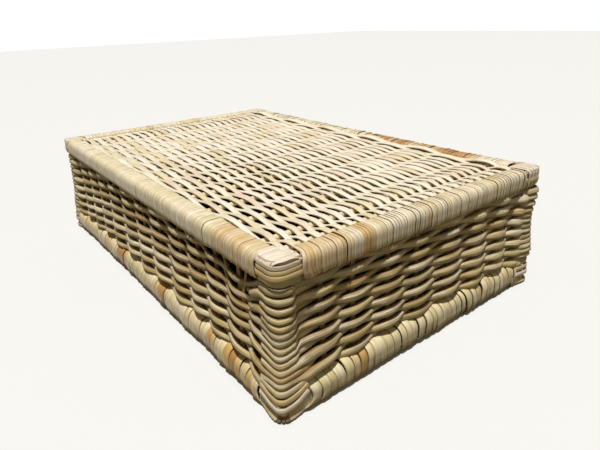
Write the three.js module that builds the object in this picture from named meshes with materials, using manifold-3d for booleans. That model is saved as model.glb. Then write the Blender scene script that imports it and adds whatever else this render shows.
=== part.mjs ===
// A shallow rectangular cane basket, in millimetres, +Z up. It lies base up, as it is stored or
// photographed: the open rim rests on z = 0 and the woven base is on top. X runs along the long side.
import * as THREE from "three";
import { mergeVertices } from "three/addons/utils/BufferGeometryUtils.js";
import Module from "manifold-3d";

const wasm = await Module();
wasm.setup();

// Overall sizes
const basketLength = 456; // over the base bands, along x
const basketWidth = 292; // over the base bands, along y
const basketHeight = 115;
const clearance = 0.3; // air between two pieces that touch

// Canes and strips
const wrapThickness = 1.6; // the strip wound round a bar
const stripThickness = 1.3; // a weaver of the walls or the base
const stakeWidth = 4.4;
const stakeThickness = 3.2;
const ribDiameter = 4.4;
const postDiameter = 13;
const baseBarDiameter = 7.6;

// Base band and rim roll, across their sections
const bandHeight = 19;
const bandWidth = 17;
const bandTopRound = 6;
const bandFootRound = 4;
const rollHeight = 24;
const rollProud = 2.7; // how far the roll stands out past the band
const rollFootRound = 5.5;
const rollTopRound = 7;

// Layout
const wallInset = 6.6; // from the band's face in to the middle of the wall
const baseLashingInset = 1.2; // from the band's face in to the strips that wrap a corner of the base
const rimLashingInset = -2.4; // at the rim those strips stand out almost as far as the roll
const lashingReach = 23.7; // how far the strips reach from the corner along each side
const lashingDepth = 14.2; // how far in they cover the frame there
const stakePitch = 33;
const stakeMargin = 30; // from the corner to the middle of the first stake
const ribPitch = 37;
const ribMargin = 43;
const endRibGap = 20; // one more rib stands between the last of these and the right end
const weaverPitch = 5;
const endBarWidth = 3; // ties the ends of the base strips, hidden under the bands
const rowPitch = 5;
const roundSteps = 4; // straight steps in a quarter round, an even number

// Materials, one colour for each kind of cane
const cane = (color, roughness) => new THREE.MeshStandardMaterial({ color, roughness, metalness: 0 });
const barCane = () => cane(0xc9a877, 0.7);
const wrapCane = () => cane(0xe6d6ae, 0.55);
const rollCane = () => cane(0xe8dcae, 0.55);
const weaverCane = () => cane(0xded2b0, 0.6);
const stakeCane = () => cane(0xb59b6c, 0.75);
const lashingCane = () => cane(0xddbf8d, 0.6);

// Heights and insets that follow from the sizes above
const bandBottom = basketHeight - bandHeight;
const underWrap = basketHeight - wrapThickness - clearance;
const stakeOuter = wallInset - stakeThickness / 2;
const stakeInner = wallInset + stakeThickness / 2;
const slotOuter = stakeOuter - clearance;
const slotInner = stakeInner + clearance;

// A row swings from side to side of the stakes, and clears each stake's corners on the way.
const swing =
  (stakeThickness / 2 + clearance + stripThickness / 2) / (1 - stakeWidth / (stakePitch - stakeWidth / 2));
const cornerTurn = postDiameter / 2 + clearance + stripThickness / 2;
const postInset = wallInset - swing + cornerTurn;
const postReach = postInset + postDiameter / 2 + clearance;

// The base strips zigzag over and under the ribs, steepest beside the extra rib at the right end.
const ribClear = ribDiameter / 2 + clearance;
const steepest = (2 * (ribClear + stripThickness / 2)) / Math.min(ribPitch, endRibGap);
const weaveSwing = ribClear * Math.hypot(1, steepest) + stripThickness / 2;
const weaveHalf = weaveSwing + stripThickness / 2;
const weaveMiddle = underWrap - weaveHalf;

// A frame for each side: x along the side, y inwards from the band's face.
const sides = [
  { name: "front", length: basketLength, x: 0, y: -basketWidth / 2, turn: 0 },
  { name: "right", length: basketWidth, x: basketLength / 2, y: 0, turn: Math.PI / 2 },
  { name: "back", length: basketLength, x: 0, y: basketWidth / 2, turn: Math.PI },
  { name: "left", length: basketWidth, x: -basketLength / 2, y: 0, turn: -Math.PI / 2 },
];
// A frame for each corner: x and y both run inwards from the corner of the bands.
const corners = [
  { name: "front_left", x: -basketLength / 2, y: -basketWidth / 2, turn: 0 },
  { name: "front_right", x: basketLength / 2, y: -basketWidth / 2, turn: Math.PI / 2 },
  { name: "back_right", x: basketLength / 2, y: basketWidth / 2, turn: Math.PI },
  { name: "back_left", x: -basketLength / 2, y: basketWidth / 2, turn: -Math.PI / 2 },
];

function frameGroup(frame) {
  const group = new THREE.Group();
  group.position.set(frame.x, frame.y, 0);
  group.rotation.z = frame.turn;
  return group;
}

function piece(name, geometry, material) {
  const mesh = new THREE.Mesh(geometry, material);
  mesh.name = name;
  return mesh;
}

function toSolid(geometry) {
  const bare = geometry.clone();
  bare.deleteAttribute("normal");
  bare.deleteAttribute("uv");
  const merged = mergeVertices(bare, 1e-4);
  return new wasm.Manifold(
    new wasm.Mesh({
      numProp: 3,
      vertProperties: merged.attributes.position.array,
      triVerts: new Uint32Array(merged.index.array),
    }),
  );
}

function joined(geometries) {
  const made = geometries.map(toSolid).reduce((all, next) => all.add(next)).getMesh();
  const geometry = new THREE.BufferGeometry();
  geometry.setAttribute("position", new THREE.BufferAttribute(made.vertProperties.slice(), 3));
  geometry.setIndex(new THREE.BufferAttribute(made.triVerts.slice(), 1));
  geometry.computeVertexNormals();
  return geometry;
}

// A section drawn in (inset, height), drawn out along the side for the given length.
function alongSide(section, length) {
  const geometry = new THREE.ExtrudeGeometry(section, {
    depth: length,
    bevelEnabled: false,
    curveSegments: roundSteps / 2,
  });
  const toSide = new THREE.Matrix4().makeBasis(
    new THREE.Vector3(0, 1, 0),
    new THREE.Vector3(0, 0, 1),
    new THREE.Vector3(1, 0, 0),
  );
  return geometry.applyMatrix4(toSide).translate(-length / 2, 0, 0);
}

// An outline drawn in plan, raised from one height to another.
function raised(outline, from, to) {
  return new THREE.ExtrudeGeometry(outline, {
    depth: to - from,
    bevelEnabled: false,
    curveSegments: roundSteps / 2,
  }).translate(0, 0, from);
}

// The wound strip round a base bar: over the top, down the face and back in to the stakes.
function bandSection() {
  const top = basketHeight;
  const inner = wrapThickness;
  const s = new THREE.Shape();
  s.moveTo(bandWidth, top - inner);
  s.absarc(bandWidth - inner, top - inner, inner, 0, Math.PI / 2, false);
  s.absarc(bandTopRound, top - bandTopRound, bandTopRound, Math.PI / 2, Math.PI, false);
  s.absarc(bandFootRound, bandBottom + bandFootRound, bandFootRound, Math.PI, 1.5 * Math.PI, false);
  s.lineTo(slotOuter, bandBottom);
  s.lineTo(slotOuter, bandBottom + inner);
  s.absarc(bandFootRound, bandBottom + bandFootRound, bandFootRound - inner, 1.5 * Math.PI, Math.PI, true);
  s.absarc(bandTopRound, top - bandTopRound, bandTopRound - inner, Math.PI, Math.PI / 2, true);
  return s;
}

// The wound strip round the rim: a loop that is open upwards, where the stakes come out.
function rollSection() {
  const outer = -rollProud;
  const inner = 2 * wallInset + rollProud;
  const foot = rollFootRound;
  const top = rollTopRound;
  const t = wrapThickness;
  const s = new THREE.Shape();
  s.moveTo(slotOuter, rollHeight);
  s.lineTo(outer + top, rollHeight);
  s.absarc(outer + top, rollHeight - top, top, Math.PI / 2, Math.PI, false);
  s.absarc(outer + foot, foot, foot, Math.PI, 1.5 * Math.PI, false);
  s.absarc(inner - foot, foot, foot, 1.5 * Math.PI, 2 * Math.PI, false);
  s.absarc(inner - top, rollHeight - top, top, 0, Math.PI / 2, false);
  s.lineTo(slotInner, rollHeight);
  s.lineTo(slotInner, rollHeight - t);
  s.absarc(inner - top, rollHeight - top, top - t, Math.PI / 2, 0, true);
  s.absarc(inner - foot, foot, foot - t, 2 * Math.PI, 1.5 * Math.PI, true);
  s.absarc(outer + foot, foot, foot - t, 1.5 * Math.PI, Math.PI, true);
  s.absarc(outer + top, rollHeight - top, top - t, Math.PI, Math.PI / 2, true);
  s.lineTo(slotOuter, rollHeight - t);
  return s;
}

// Half of the core inside the roll: flat against the stakes, round against the winding.
function rimCoreSection(flatAt, roundAt) {
  const outwards = Math.sign(roundAt - flatAt);
  const gap = wrapThickness + clearance;
  const foot = rollFootRound - gap;
  const top = rollTopRound - gap;
  const sweep = (angle) => (outwards > 0 ? angle : Math.PI - angle);
  const turned = outwards < 0;
  const s = new THREE.Shape();
  s.moveTo(flatAt, gap);
  s.lineTo(roundAt - outwards * foot, gap);
  s.absarc(roundAt - outwards * foot, gap + foot, foot, sweep(-Math.PI / 2), sweep(0), turned);
  s.absarc(roundAt - outwards * top, rollHeight - gap - top, top, sweep(0), sweep(Math.PI / 2), turned);
  s.lineTo(flatAt, rollHeight - gap);
  return s;
}

// Evenly spaced places along a length, close to the wanted pitch and a margin in from its ends.
function spaced(length, margin, pitch) {
  const run = length - 2 * margin;
  const gaps = Math.round(run / pitch);
  return Array.from({ length: gaps + 1 }, (_, i) => -run / 2 + (run * i) / gaps);
}

// The stakes of one side, let into the inner lath of the rim, which joins them in one piece.
function stakesWithLath(length) {
  const gap = wrapThickness + clearance;
  const innerFace = 2 * wallInset + rollProud - gap;
  const lath = alongSide(rimCoreSection(wallInset, innerFace), length - 2 * postReach);
  const foot = rollHeight / 2;
  const stakes = spaced(length, stakeMargin, stakePitch).map((x) =>
    new THREE.BoxGeometry(stakeWidth, stakeThickness, underWrap - foot).translate(
      x,
      wallInset,
      (underWrap + foot) / 2,
    ),
  );
  return joined([lath, ...stakes]);
}

// A base bar is a round rod that lies against the stakes and carries what crosses it.
function baseBar(length, topAt) {
  const radius = baseBarDiameter / 2;
  return new THREE.CylinderGeometry(radius, radius, length - 2 * postReach, 12)
    .rotateZ(Math.PI / 2)
    .translate(0, slotInner + radius, topAt - radius);
}

// The middle line of one row in plan, outside each post and weaving through the stakes of each side.
function rowPath(row) {
  const points = [];
  let count = 0;
  sides.forEach((side) => {
    const place = new THREE.Matrix4().makeRotationZ(side.turn).setPosition(side.x, side.y, 0);
    const add = (x, y) => {
      const p = new THREE.Vector3(x, y, 0).applyMatrix4(place);
      points.push(new THREE.Vector2(p.x, p.y));
    };
    spaced(side.length, stakeMargin, stakePitch).forEach((x) => {
      add(x, wallInset + ((count + row) % 2 ? swing : -swing));
      count += 1;
    });
    for (let i = 0; i <= roundSteps; i++) {
      const angle = -Math.PI / 2 + ((Math.PI / 2) * i) / roundSteps;
      add(
        side.length / 2 - postInset + cornerTurn * Math.cos(angle),
        postInset + cornerTurn * Math.sin(angle),
      );
    }
  });
  return points;
}

// A closed path moved sideways, with mitred corners.
function offsetPath(points, distance) {
  return points.map((p, i) => {
    const before = points.at(i - 1);
    const after = points[(i + 1) % points.length];
    const into = p.clone().sub(before).normalize();
    const out = after.clone().sub(p).normalize();
    const normal = new THREE.Vector2(into.y + out.y, -into.x - out.x).normalize();
    const reach = distance / (normal.x * into.y - normal.y * into.x);
    return p.clone().addScaledVector(normal, reach);
  });
}

function wallRow(row, bottom, stripHeight) {
  const path = rowPath(row);
  const ring = new THREE.Shape(offsetPath(path, stripThickness / 2));
  ring.holes.push(new THREE.Path(offsetPath(path, -stripThickness / 2)));
  return raised(ring, bottom, bottom + stripHeight);
}

// The strips round a corner, open inwards: a shell over the post that closes over the post's end.
function cornerLashing(e, from, to, capFrom, capTo) {
  const round = cornerTurn + stripThickness / 2 + wallInset - swing - e;
  const bore = postDiameter / 2 + clearance;
  const angle = -Math.acos(Math.sqrt(bore ** 2 - (postInset - slotOuter) ** 2) / bore);
  const shell = new THREE.Shape();
  shell.moveTo(lashingReach, e);
  shell.lineTo(lashingReach, slotOuter);
  shell.absarc(postInset, postInset, bore, angle, -1.5 * Math.PI - angle, true);
  shell.lineTo(slotOuter, lashingReach);
  shell.lineTo(e, lashingReach);
  shell.absarc(e + round, e + round, round, Math.PI, 1.5 * Math.PI, false);
  const cap = new THREE.Shape();
  cap.moveTo(lashingReach, e);
  cap.lineTo(lashingReach, lashingDepth);
  cap.lineTo(lashingDepth, lashingReach);
  cap.lineTo(e, lashingReach);
  cap.absarc(e + round, e + round, round, Math.PI, 1.5 * Math.PI, false);
  return joined([raised(shell, from, to), raised(cap, capFrom, capTo)]);
}

function cornerPost() {
  const radius = postDiameter / 2;
  const foot = wrapThickness + clearance;
  return new THREE.CylinderGeometry(radius, radius, underWrap - foot, 16)
    .rotateX(Math.PI / 2)
    .translate(postInset, postInset, (underWrap + foot) / 2);
}

// The woven base in one piece: strips that pass over and under the ribs in turn, tied by a bar at each
// end.
function baseWeave(ribPlaces) {
  const halfLength = basketLength / 2 - slotInner;
  const halfWidth = basketWidth / 2 - postReach;
  const pairs = Math.round(halfWidth / weaverPitch);
  const step = halfWidth / pairs;
  const lineEnd = halfLength - endBarWidth / 2;
  const strips = Array.from({ length: 2 * pairs }, (_, k) => {
    const line = [
      new THREE.Vector2(-lineEnd, 0),
      ...ribPlaces.map((x, i) => new THREE.Vector2(x, (i + k) % 2 ? weaveSwing : -weaveSwing)),
      new THREE.Vector2(lineEnd, 0),
    ];
    const level = (offset) => line.map((p) => new THREE.Vector2(p.x, p.y + offset));
    const outline = new THREE.Shape([...level(-stripThickness / 2), ...level(stripThickness / 2).reverse()]);
    return new THREE.ExtrudeGeometry(outline, { depth: step - clearance, bevelEnabled: false })
      .rotateX(Math.PI / 2)
      .translate(0, -halfWidth + (k + 1) * step - clearance / 2, weaveMiddle);
  });
  const endBars = [-1, 1].map((end) =>
    new THREE.BoxGeometry(endBarWidth, 2 * halfWidth, 2 * stripThickness)
      .translate(end * (halfLength - endBarWidth / 2), 0, weaveMiddle),
  );
  return joined([...strips, ...endBars]);
}

function baseRib(x) {
  const radius = ribDiameter / 2;
  return new THREE.CylinderGeometry(radius, radius, basketWidth - 2 * slotInner, 8)
    .rotateY(Math.PI / 8)
    .translate(x, 0, weaveMiddle);
}

const basket = new THREE.Group();

sides.forEach((side) => {
  const group = frameGroup(side);
  const windingLength = side.length - 2 * (lashingReach + clearance);
  const acrossRibs = side.name === "front" || side.name === "back";
  const crossing = acrossRibs ? ribDiameter / 2 : weaveHalf;
  const outerRimBar = rimCoreSection(slotOuter, wrapThickness + clearance - rollProud);
  group.add(
    piece(`base_bar_${side.name}`, baseBar(side.length, weaveMiddle - crossing - clearance), barCane()),
    piece(`base_binding_${side.name}`, alongSide(bandSection(), windingLength), wrapCane()),
    piece(`rim_bar_${side.name}`, alongSide(outerRimBar, windingLength), barCane()),
    piece(`rim_binding_${side.name}`, alongSide(rollSection(), windingLength), rollCane()),
    piece(`side_stakes_${side.name}`, stakesWithLath(side.length), stakeCane()),
  );
  basket.add(group);
});

corners.forEach((corner) => {
  const group = frameGroup(corner);
  const capBottom = basketHeight - wrapThickness;
  const base = cornerLashing(baseLashingInset, bandBottom, basketHeight, capBottom, basketHeight);
  const rim = cornerLashing(rimLashingInset, 0, rollHeight, 0, wrapThickness);
  group.add(
    piece(`corner_post_${corner.name}`, cornerPost(), barCane()),
    piece(`base_corner_lashing_${corner.name}`, base, lashingCane()),
    piece(`rim_corner_lashing_${corner.name}`, rim, lashingCane()),
  );
  basket.add(group);
});

const rowSpace = bandBottom - rollHeight;
const rowCount = Math.round(rowSpace / rowPitch);
const rowStep = rowSpace / rowCount;
for (let row = 0; row < rowCount; row++) {
  const bottom = rollHeight + row * rowStep + clearance / 2;
  const name = `wall_row_${String(row + 1).padStart(2, "0")}`;
  basket.add(piece(name, wallRow(row, bottom, rowStep - clearance), weaverCane()));
}

const ribPlaces = spaced(basketLength, ribMargin, ribPitch);
ribPlaces.push(basketLength / 2 - ribMargin + endRibGap);
ribPlaces.forEach((x, i) => {
  basket.add(piece(`base_rib_${String(i + 1).padStart(2, "0")}`, baseRib(x), stakeCane()));
});
basket.add(piece("base_weave", baseWeave(ribPlaces), weaverCane()));

export default basket;
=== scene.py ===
import math

import bpy
import numpy as np
from mathutils import Matrix, Vector, noise


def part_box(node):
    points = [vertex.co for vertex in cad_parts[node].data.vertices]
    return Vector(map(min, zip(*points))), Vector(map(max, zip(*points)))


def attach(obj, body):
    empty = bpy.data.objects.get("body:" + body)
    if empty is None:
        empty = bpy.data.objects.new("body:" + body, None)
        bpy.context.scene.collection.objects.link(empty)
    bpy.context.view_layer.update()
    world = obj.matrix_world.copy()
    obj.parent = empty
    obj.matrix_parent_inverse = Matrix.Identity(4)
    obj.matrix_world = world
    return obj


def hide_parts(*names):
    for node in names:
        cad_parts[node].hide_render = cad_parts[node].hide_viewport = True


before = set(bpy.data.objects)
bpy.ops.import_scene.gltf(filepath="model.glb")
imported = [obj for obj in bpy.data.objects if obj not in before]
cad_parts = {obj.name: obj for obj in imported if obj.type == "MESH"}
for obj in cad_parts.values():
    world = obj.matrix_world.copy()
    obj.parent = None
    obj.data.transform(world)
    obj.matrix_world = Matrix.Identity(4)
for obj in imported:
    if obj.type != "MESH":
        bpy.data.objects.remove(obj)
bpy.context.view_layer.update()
print("frame loaded:", len(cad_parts), "nodes")

mm = 0.001  # paths are worked out in millimetres and turned to metres when a mesh is made


# sizes of the basket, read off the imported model
def boxMm(node):
    low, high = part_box(node)
    return np.array(low) / mm, np.array(high) / mm


bandLow, bandHigh = boxMm("base_binding_front")
rollLow, rollHigh = boxMm("rim_binding_front")
halfWidth = -bandLow[1]
halfLength = boxMm("base_binding_right")[1][0]
basketHeight = bandHigh[2]
bandBottom = bandLow[2]
bandDepth = bandHigh[1] - bandLow[1]
rollHeight = rollHigh[2]
rollProud = bandLow[1] - rollLow[1]
wallInset = (rollHigh[1] - rollLow[1]) / 2 - rollProud  # the wall stands in the middle of the roll
cornerReach = halfLength - bandHigh[0]
weaveMiddle = sum(box[2] for box in boxMm("base_weave")) / 2
rowNodes = sorted(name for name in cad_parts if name.startswith("wall_row"))
ribNodes = sorted(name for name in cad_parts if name.startswith("base_rib"))

sides = {
    "front": {"origin": (0, -halfWidth), "along": (1, 0), "inward": (0, 1), "half": halfLength},
    "right": {"origin": (halfLength, 0), "along": (0, 1), "inward": (-1, 0), "half": halfWidth},
    "back": {"origin": (0, halfWidth), "along": (-1, 0), "inward": (0, -1), "half": halfLength},
    "left": {"origin": (-halfLength, 0), "along": (0, -1), "inward": (1, 0), "half": halfWidth},
}
# each corner lies between the end of one side and the start of the next
cornerSides = {
    "front_right": ("front", "right"),
    "back_right": ("right", "back"),
    "back_left": ("back", "left"),
    "front_left": ("left", "front"),
}


def onSide(name, s, inset, z):
    o, a, n = (sides[name][key] for key in ("origin", "along", "inward"))
    return np.array([o[0] + a[0] * s + n[0] * inset, o[1] + a[1] * s + n[1] * inset, z])


def onCorner(name, u, v, z):
    # u runs back from the corner along the first side, v on along the second
    first, second = cornerSides[name]
    tip = onSide(first, sides[first]["half"], 0, z)
    a, b = sides[first]["along"], sides[second]["along"]
    return tip + np.array([-a[0] * u + b[0] * v, -a[1] * u + b[1] * v, 0])


def drift(a, b, c=0.0):
    return noise.noise(Vector((a, b, c)))  # smooth, about -1 to 1, the same on every run


def within(value, low=0, high=1):
    return min(max(value, low), high)


def rise(value, start, end):
    # smoothly from 0 at the start to 1 at the end, which may be the lower of the two
    return 0.5 - 0.5 * math.cos(math.pi * within((value - start) / (end - start)))


def fadeOut(away, reach, power=2):
    # 1 at no distance, about a third at the reach
    return math.exp(-((away / reach) ** power))


def graded(z, heights, values):
    # from the first value at the first height to the second at the second
    return values[0] + (values[1] - values[0]) * rise(z, *heights)


def overUnder(knots, signs, place):
    # from the sign of one crossing to the sign of the next
    j = within(np.searchsorted(knots, place) - 1, 0, len(knots) - 2)
    return signs[j] + (signs[j + 1] - signs[j]) * rise(place, knots[j], knots[j + 1])


def raised(z):
    return np.array([0, 0, z])


# the base stands out at the back right corner, so everything made there leans that way
skew = {"x": 1.5, "y": 4.6, "reach": 42, "from": 66, "full": 90}


def settled(points):
    points = np.array(points, float)
    away = np.hypot(points[:, 0] - halfLength, points[:, 1] - halfWidth)
    high = np.clip((points[:, 2] - skew["from"]) / (skew["full"] - skew["from"]), 0, 1)
    share = np.exp(-((away / skew["reach"]) ** 2)) * high * high * (3 - 2 * high)
    points[:, 0] += skew["x"] * share
    points[:, 1] += skew["y"] * share
    return points


# canes
def cane(points, faces, wide, tone, closed=False):
    points = settled(points)
    faces = np.array(faces, float)
    faces /= np.linalg.norm(faces, axis=1)[:, None]
    count = len(points)
    return {
        "points": points,
        "faces": faces,
        "wide": np.broadcast_to(np.array(wide, float), (count,)),
        "tone": np.broadcast_to(np.array(tone, float), (count,)),
        "closed": closed,
    }


def feed(tree, node, values):
    # each value is a number, a name, a colour or another node's output
    for key, value in values.items():
        socket = node.inputs[key]
        if isinstance(value, (int, float, str)):
            socket.default_value = value
        elif isinstance(value, tuple):
            socket.default_value = (*value, 1)
        else:
            tree.links.new(value, socket)


def addNode(tree, kind, values, **settings):
    node = tree.nodes.new(kind)
    for key, value in settings.items():
        setattr(node, key, value)
    feed(tree, node, values)
    return node


def mathNode(tree, operation, *values):
    return addNode(tree, "ShaderNodeMath", dict(enumerate(values)), operation=operation).outputs[0]


def attributeNode(tree, name, kind="FLOAT"):
    node = addNode(tree, "GeometryNodeInputNamedAttribute", {"Name": name}, data_type=kind)
    return node.outputs["Attribute"]


def storeNode(tree, geometry, name, value):
    values = {"Geometry": geometry, "Name": name, "Value": value}
    node = addNode(tree, "GeometryNodeStoreNamedAttribute", values, data_type="FLOAT", domain="POINT")
    return node.outputs["Geometry"]


def buildCaneTree():
    # sweeps a flat-backed, crowned strip along every line of edges it is given
    tree = bpy.data.node_groups.new("splitCane", "GeometryNodeTree")
    tree.is_modifier = True
    for name, kind, way in (
        ("Lines", "Geometry", "INPUT"),
        ("Section points", "Int", "INPUT"),
        ("Crown", "Float", "INPUT"),
        ("Back", "Float", "INPUT"),
        ("Fullness", "Float", "INPUT"),
        ("Material", "Material", "INPUT"),
        ("Strips", "Geometry", "OUTPUT"),
    ):
        tree.interface.new_socket(name, in_out=way, socket_type="NodeSocket" + kind)
    given = tree.nodes.new("NodeGroupInput").outputs

    # the section, one unit wide, with its crown and its back
    circle = addNode(
        tree, "GeometryNodeCurvePrimitiveCircle", {"Resolution": given["Section points"], "Radius": 1}
    )
    position = tree.nodes.new("GeometryNodeInputPosition").outputs[0]
    parts = addNode(tree, "ShaderNodeSeparateXYZ", {0: position}).outputs
    across = mathNode(tree, "MULTIPLY", parts["X"], 0.5)
    profile = storeNode(tree, circle.outputs["Curve"], "across", across)
    bulge = mathNode(tree, "POWER", mathNode(tree, "ABSOLUTE", parts["Y"]), given["Fullness"])
    isFront = mathNode(tree, "GREATER_THAN", parts["Y"], 0)
    front = mathNode(tree, "MULTIPLY", isFront, given["Crown"])
    isBack = mathNode(tree, "SUBTRACT", 1, isFront)
    back = mathNode(tree, "MULTIPLY", isBack, mathNode(tree, "MULTIPLY", given["Back"], -1))
    height = mathNode(tree, "MULTIPLY", bulge, mathNode(tree, "ADD", front, back))
    place = addNode(tree, "ShaderNodeCombineXYZ", {"X": height, "Y": across}).outputs[0]
    shaped = addNode(tree, "GeometryNodeSetPosition", {"Geometry": profile, "Position": place})

    # the lines, turned to their faces and swept
    curves = addNode(tree, "GeometryNodeMeshToCurve", {"Mesh": given["Lines"]})
    turns = {"Curve": curves.outputs["Curve"], "Normal": attributeNode(tree, "face", "FLOAT_VECTOR")}
    turned = addNode(tree, "GeometryNodeSetCurveNormal", turns, mode="FREE")
    length = tree.nodes.new("GeometryNodeSplineParameter").outputs["Length"]
    sweep = {
        "Curve": storeNode(tree, turned.outputs["Curve"], "along", length),
        "Profile Curve": shaped.outputs["Geometry"],
        "Scale": attributeNode(tree, "wide"),
        "Fill Caps": True,
    }
    swept = addNode(tree, "GeometryNodeCurveToMesh", sweep)
    smooth = addNode(tree, "GeometryNodeSetShadeSmooth", {"Geometry": swept.outputs["Mesh"]})
    real = addNode(tree, "GeometryNodeRealizeInstances", {"Geometry": smooth.outputs["Geometry"]})
    dress = {"Geometry": real.outputs["Geometry"], "Material": given["Material"]}
    dressed = addNode(tree, "GeometryNodeSetMaterial", dress)
    addNode(tree, "NodeGroupOutput", {"Strips": dressed.outputs["Geometry"]})
    return tree


caneTree = buildCaneTree()


def sweepCanes(name, canes, look, nodes):
    # the lines as a mesh of edges, with what each point of the strip needs
    points = np.concatenate([c["points"] for c in canes]) * mm
    edges, first = [], 0
    for c in canes:
        count = len(c["points"])
        edges += [(first + i, first + i + 1) for i in range(count - 1)]
        if c["closed"]:
            edges.append((first + count - 1, first))
        first += count
    lines = bpy.data.meshes.new(name + "Lines")
    lines.from_pydata(points.tolist(), edges, [])
    for key, kind, values in (
        ("face", "FLOAT_VECTOR", np.concatenate([c["faces"] for c in canes])),
        ("wide", "FLOAT", np.concatenate([c["wide"] for c in canes]) * mm),
        ("tone", "FLOAT", np.concatenate([c["tone"] for c in canes])),
    ):
        field = "vector" if kind == "FLOAT_VECTOR" else "value"
        lines.attributes.new(key, kind, "POINT").data.foreach_set(field, values.astype(np.float32).ravel())
    holder = bpy.data.objects.new(name + "Lines", lines)
    bpy.context.scene.collection.objects.link(holder)
    strip = holder.modifiers.new("strip", "NODES")
    strip.node_group = caneTree
    values = {
        "Section points": look["sectionPoints"],
        "Crown": look["crown"],
        "Back": look["back"],
        "Fullness": look["fullness"],
        "Material": look["material"],
    }
    for item in caneTree.interface.items_tree:
        if item.in_out == "INPUT" and item.name in values:
            strip[item.identifier] = values[item.name]
    evaluated = holder.evaluated_get(bpy.context.evaluated_depsgraph_get())
    mesh = bpy.data.meshes.new_from_object(evaluated)
    holder.modifiers.clear()
    bpy.data.objects.remove(holder)
    mesh.name = name
    piece = bpy.data.objects.new(name, mesh)
    bpy.context.scene.collection.objects.link(piece)
    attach(piece, "root")
    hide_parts(*nodes)


# finishes
def newMaterial(name):
    material = bpy.data.materials.new(name)
    material.use_nodes = True
    return material, material.node_tree, material.node_tree.nodes["Principled BSDF"]


def noiseNode(tree, vector, scale, detail):
    values = {"Vector": vector, "Scale": scale, "Detail": detail}
    return addNode(tree, "ShaderNodeTexNoise", values).outputs["Fac"]


def rampNode(tree, amount, stops):
    node = addNode(tree, "ShaderNodeValToRGB", {"Fac": amount})
    elements = node.color_ramp.elements
    while len(elements) < len(stops):
        elements.new(0.5)
    for element, (place, colour) in zip(elements, stops):
        element.position = place
        element.color = (*colour, 1)
    return node.outputs["Color"]


def mixNode(tree, amount, first, second, kind="MIX"):
    values = {"Factor": amount, "A": first, "B": second}
    return addNode(tree, "ShaderNodeMix", values, data_type="RGBA", blend_type=kind).outputs["Result"]


def bumpNode(tree, height, strength, distance):
    values = {"Height": height, "Strength": strength, "Distance": distance}
    return addNode(tree, "ShaderNodeBump", values).outputs["Normal"]


# the grain's patterns: scale across the strip and along it, detail, and a seed
patterns = {
    "wander": (0.5, 16, 2, 5),
    "streaks": (1, 30, 4, 0),
    "fibres": (3.2, 90, 2, 11),
    "blotches": (1.2, 60, 4, 23),
    "scars": (3, 110, 2, 37),
}
toneApart = 53  # sets the patterns of one tone of strip apart from the next


def caneMaterial(name, look):
    material, tree, shader = newMaterial(name)

    def read(attribute):
        return addNode(tree, "ShaderNodeAttribute", {}, attribute_name=attribute).outputs["Fac"]

    def grain(pattern, finer=1):
        # runs with the strip, another one on each tone of strip
        acrossScale, alongScale, detail, seed = patterns[pattern]
        places = {
            "X": mathNode(tree, "MULTIPLY", across, acrossScale * finer),
            "Y": mathNode(tree, "MULTIPLY", along, alongScale),
            "Z": mathNode(tree, "ADD", mathNode(tree, "MULTIPLY", tone, toneApart), seed),
        }
        return noiseNode(tree, addNode(tree, "ShaderNodeCombineXYZ", places).outputs[0], 1, detail)

    def remap(value, low, high, outLow, outHigh):
        values = {"Value": value, "From Min": low, "From Max": high, "To Min": outLow, "To Max": outHigh}
        return addNode(tree, "ShaderNodeMapRange", values).outputs["Result"]

    tone, along, across = read("tone"), read("along"), read("across")
    # the colour of a strip drifts along its length
    wander = remap(grain("wander"), 0.3, 0.7, -look["toneDrift"], look["toneDrift"])
    stops = []
    for place, (red, green, blue) in look["colours"]:
        stops.append((place, (red, green * look["warmth"] ** 0.2, blue * look["warmth"])))
    colour = rampNode(tree, mathNode(tree, "ADD", tone, wander), stops)

    streaks = grain("streaks", look["streaksAcross"])
    fibres = grain("fibres", look["streaksAcross"])
    fromMiddle = mathNode(tree, "ABSOLUTE", across)
    for kind, field, low, high, depth, markAndShadeColour in (
        ("MIX", grain("blotches"), 0.53, 0.75, "stain", "stainColour"),
        ("MULTIPLY", streaks, 0.42, 0.7, "streakDepth", "streakColour"),
        ("MULTIPLY", fibres, 0.45, 0.72, "fibreDepth", "streakColour"),
        ("MULTIPLY", grain("scars"), 0.7, 0.78, "scarDepth", "scarColour"),
        # painted shade: each strip darkens towards its edges, where it meets its neighbours
        ("MULTIPLY", fromMiddle, look["edgeShadeFrom"], 0.5, "edgeShadeDepth", "edgeShadeColour"),
    ):
        colour = mixNode(tree, remap(field, low, high, 0, look[depth]), colour, look[markAndShadeColour], kind)
    relief = mathNode(tree, "ADD", streaks, mathNode(tree, "MULTIPLY", fibres, look["fibreRelief"]))
    values = {
        "Base Color": colour,
        "Roughness": remap(streaks, 0.3, 0.7, look["roughLow"], look["roughHigh"]),
        "Normal": bumpNode(tree, relief, look["bump"], look["bumpHeight"]),
        "Sheen Weight": look["sheen"],
        "Sheen Roughness": 0.4,
    }
    feed(tree, shader, values)
    return material


whiteCane = (0.95, 0.90, 0.79)
paleCream = (0.92, 0.85, 0.69)
cream = (0.87, 0.77, 0.56)
straw = (0.78, 0.66, 0.38)
gold = (0.74, 0.52, 0.20)
tan = (0.60, 0.43, 0.21)
orangeBrown = (0.56, 0.31, 0.11)
pinkCream = (0.82, 0.67, 0.52)
greenStraw = (0.66, 0.61, 0.34)
oldGrey = (0.56, 0.48, 0.31)
# painted shade: the dark brown that the rim corners' feet take on near the middle of each corner
shadeBrown = (0.27, 0.19, 0.10)

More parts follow.
